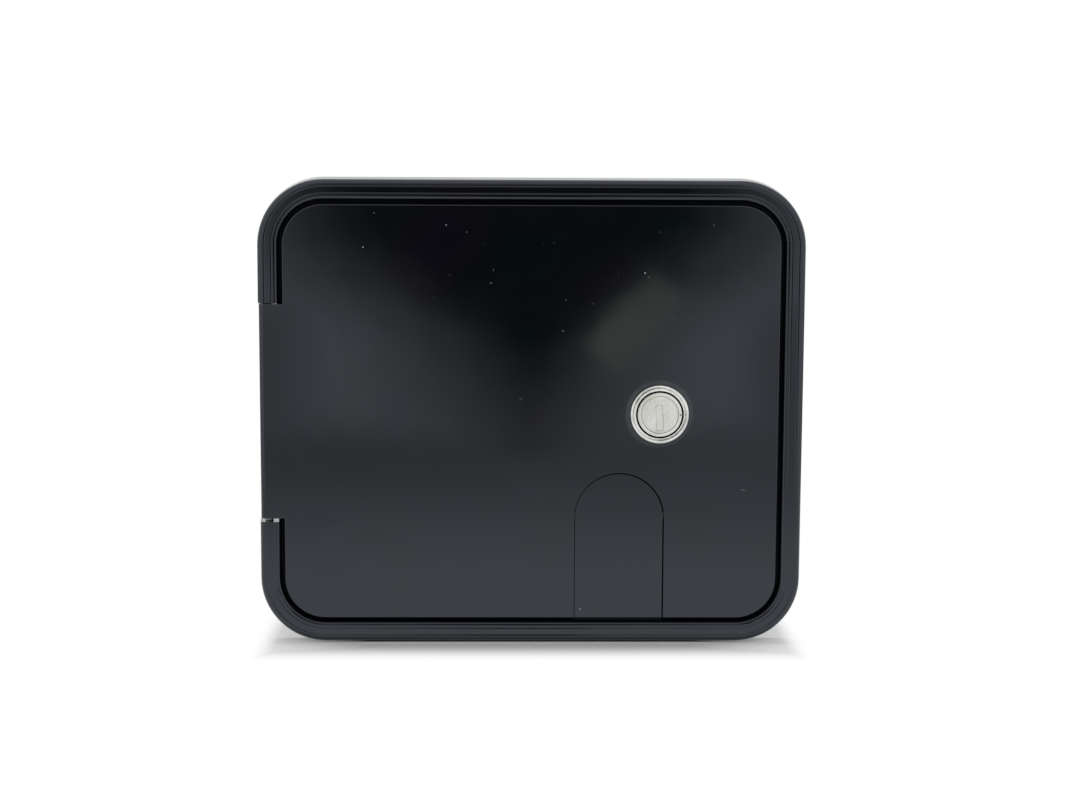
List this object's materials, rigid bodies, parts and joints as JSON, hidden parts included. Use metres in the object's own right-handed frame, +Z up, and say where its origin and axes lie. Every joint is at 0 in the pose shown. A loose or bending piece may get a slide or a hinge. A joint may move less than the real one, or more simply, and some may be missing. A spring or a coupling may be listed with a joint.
{
  "type": "sewer hose hatch",
  "caption": "Flush wall hatch for a camper's sewer hose, with a lockable door hinged on the left and an arched flap in the door that lets the hose out.",
  "frame": {"origin": "the middle of the flange's back face, which lies on the camper's outer wall", "axes": "+Z up, +Y into the wall and +X to the right as seen from outside"},
  "size_m": [0.2, 0.0343, 0.1712],
  "materials": {
    "black_plastic": "moulded black ABS, satin gloss, slightly uneven",
    "seal_rubber": "soft black sealing profile",
    "pin_steel": "drawn stainless rod",
    "lock_plating": "bright nickel plating on a cast lock",
    "lock_steel": "zinc-plated pressed steel"
  },
  "bodies": {
    "frame_body": {"frame": "black_plastic", "door_seal": "seal_rubber", "hinge_pin_upper": "pin_steel", "hinge_pin_lower": "pin_steel"},
    "door_body": {"door": "black_plastic", "lock_housing": "lock_plating", "lock_washer": "lock_steel", "lock_nut": "lock_steel", "flap_rod": "pin_steel"},
    "lock_body": {"lock_plug": "lock_plating", "key_shutter": "lock_steel", "lock_cam": "lock_steel", "cam_washer": "lock_steel", "cam_screw": "lock_steel"},
    "flap_body": {"hose_flap": "black_plastic"}
  },
  "joints": [
    {"name": "door_hinge", "type": "hinge", "parent": "frame_body", "child": "door_body", "pos_m": [-0.0963, -0.0045, 0], "axis": [0, 0, -1], "range_deg": [0, 160]},
    {"name": "lock_turn", "type": "hinge", "parent": "door_body", "child": "lock_body", "pos_m": [0.0468, -0.0085, 0], "axis": [0, 1, 0], "range_deg": [0, 90]},
    {"name": "flap_swing", "type": "hinge", "parent": "door_body", "child": "flap_body", "pos_m": [0.0324, -0.0058, -0.0383], "axis": [-1, 0, 0], "range_deg": [0, 80]}
  ]
}
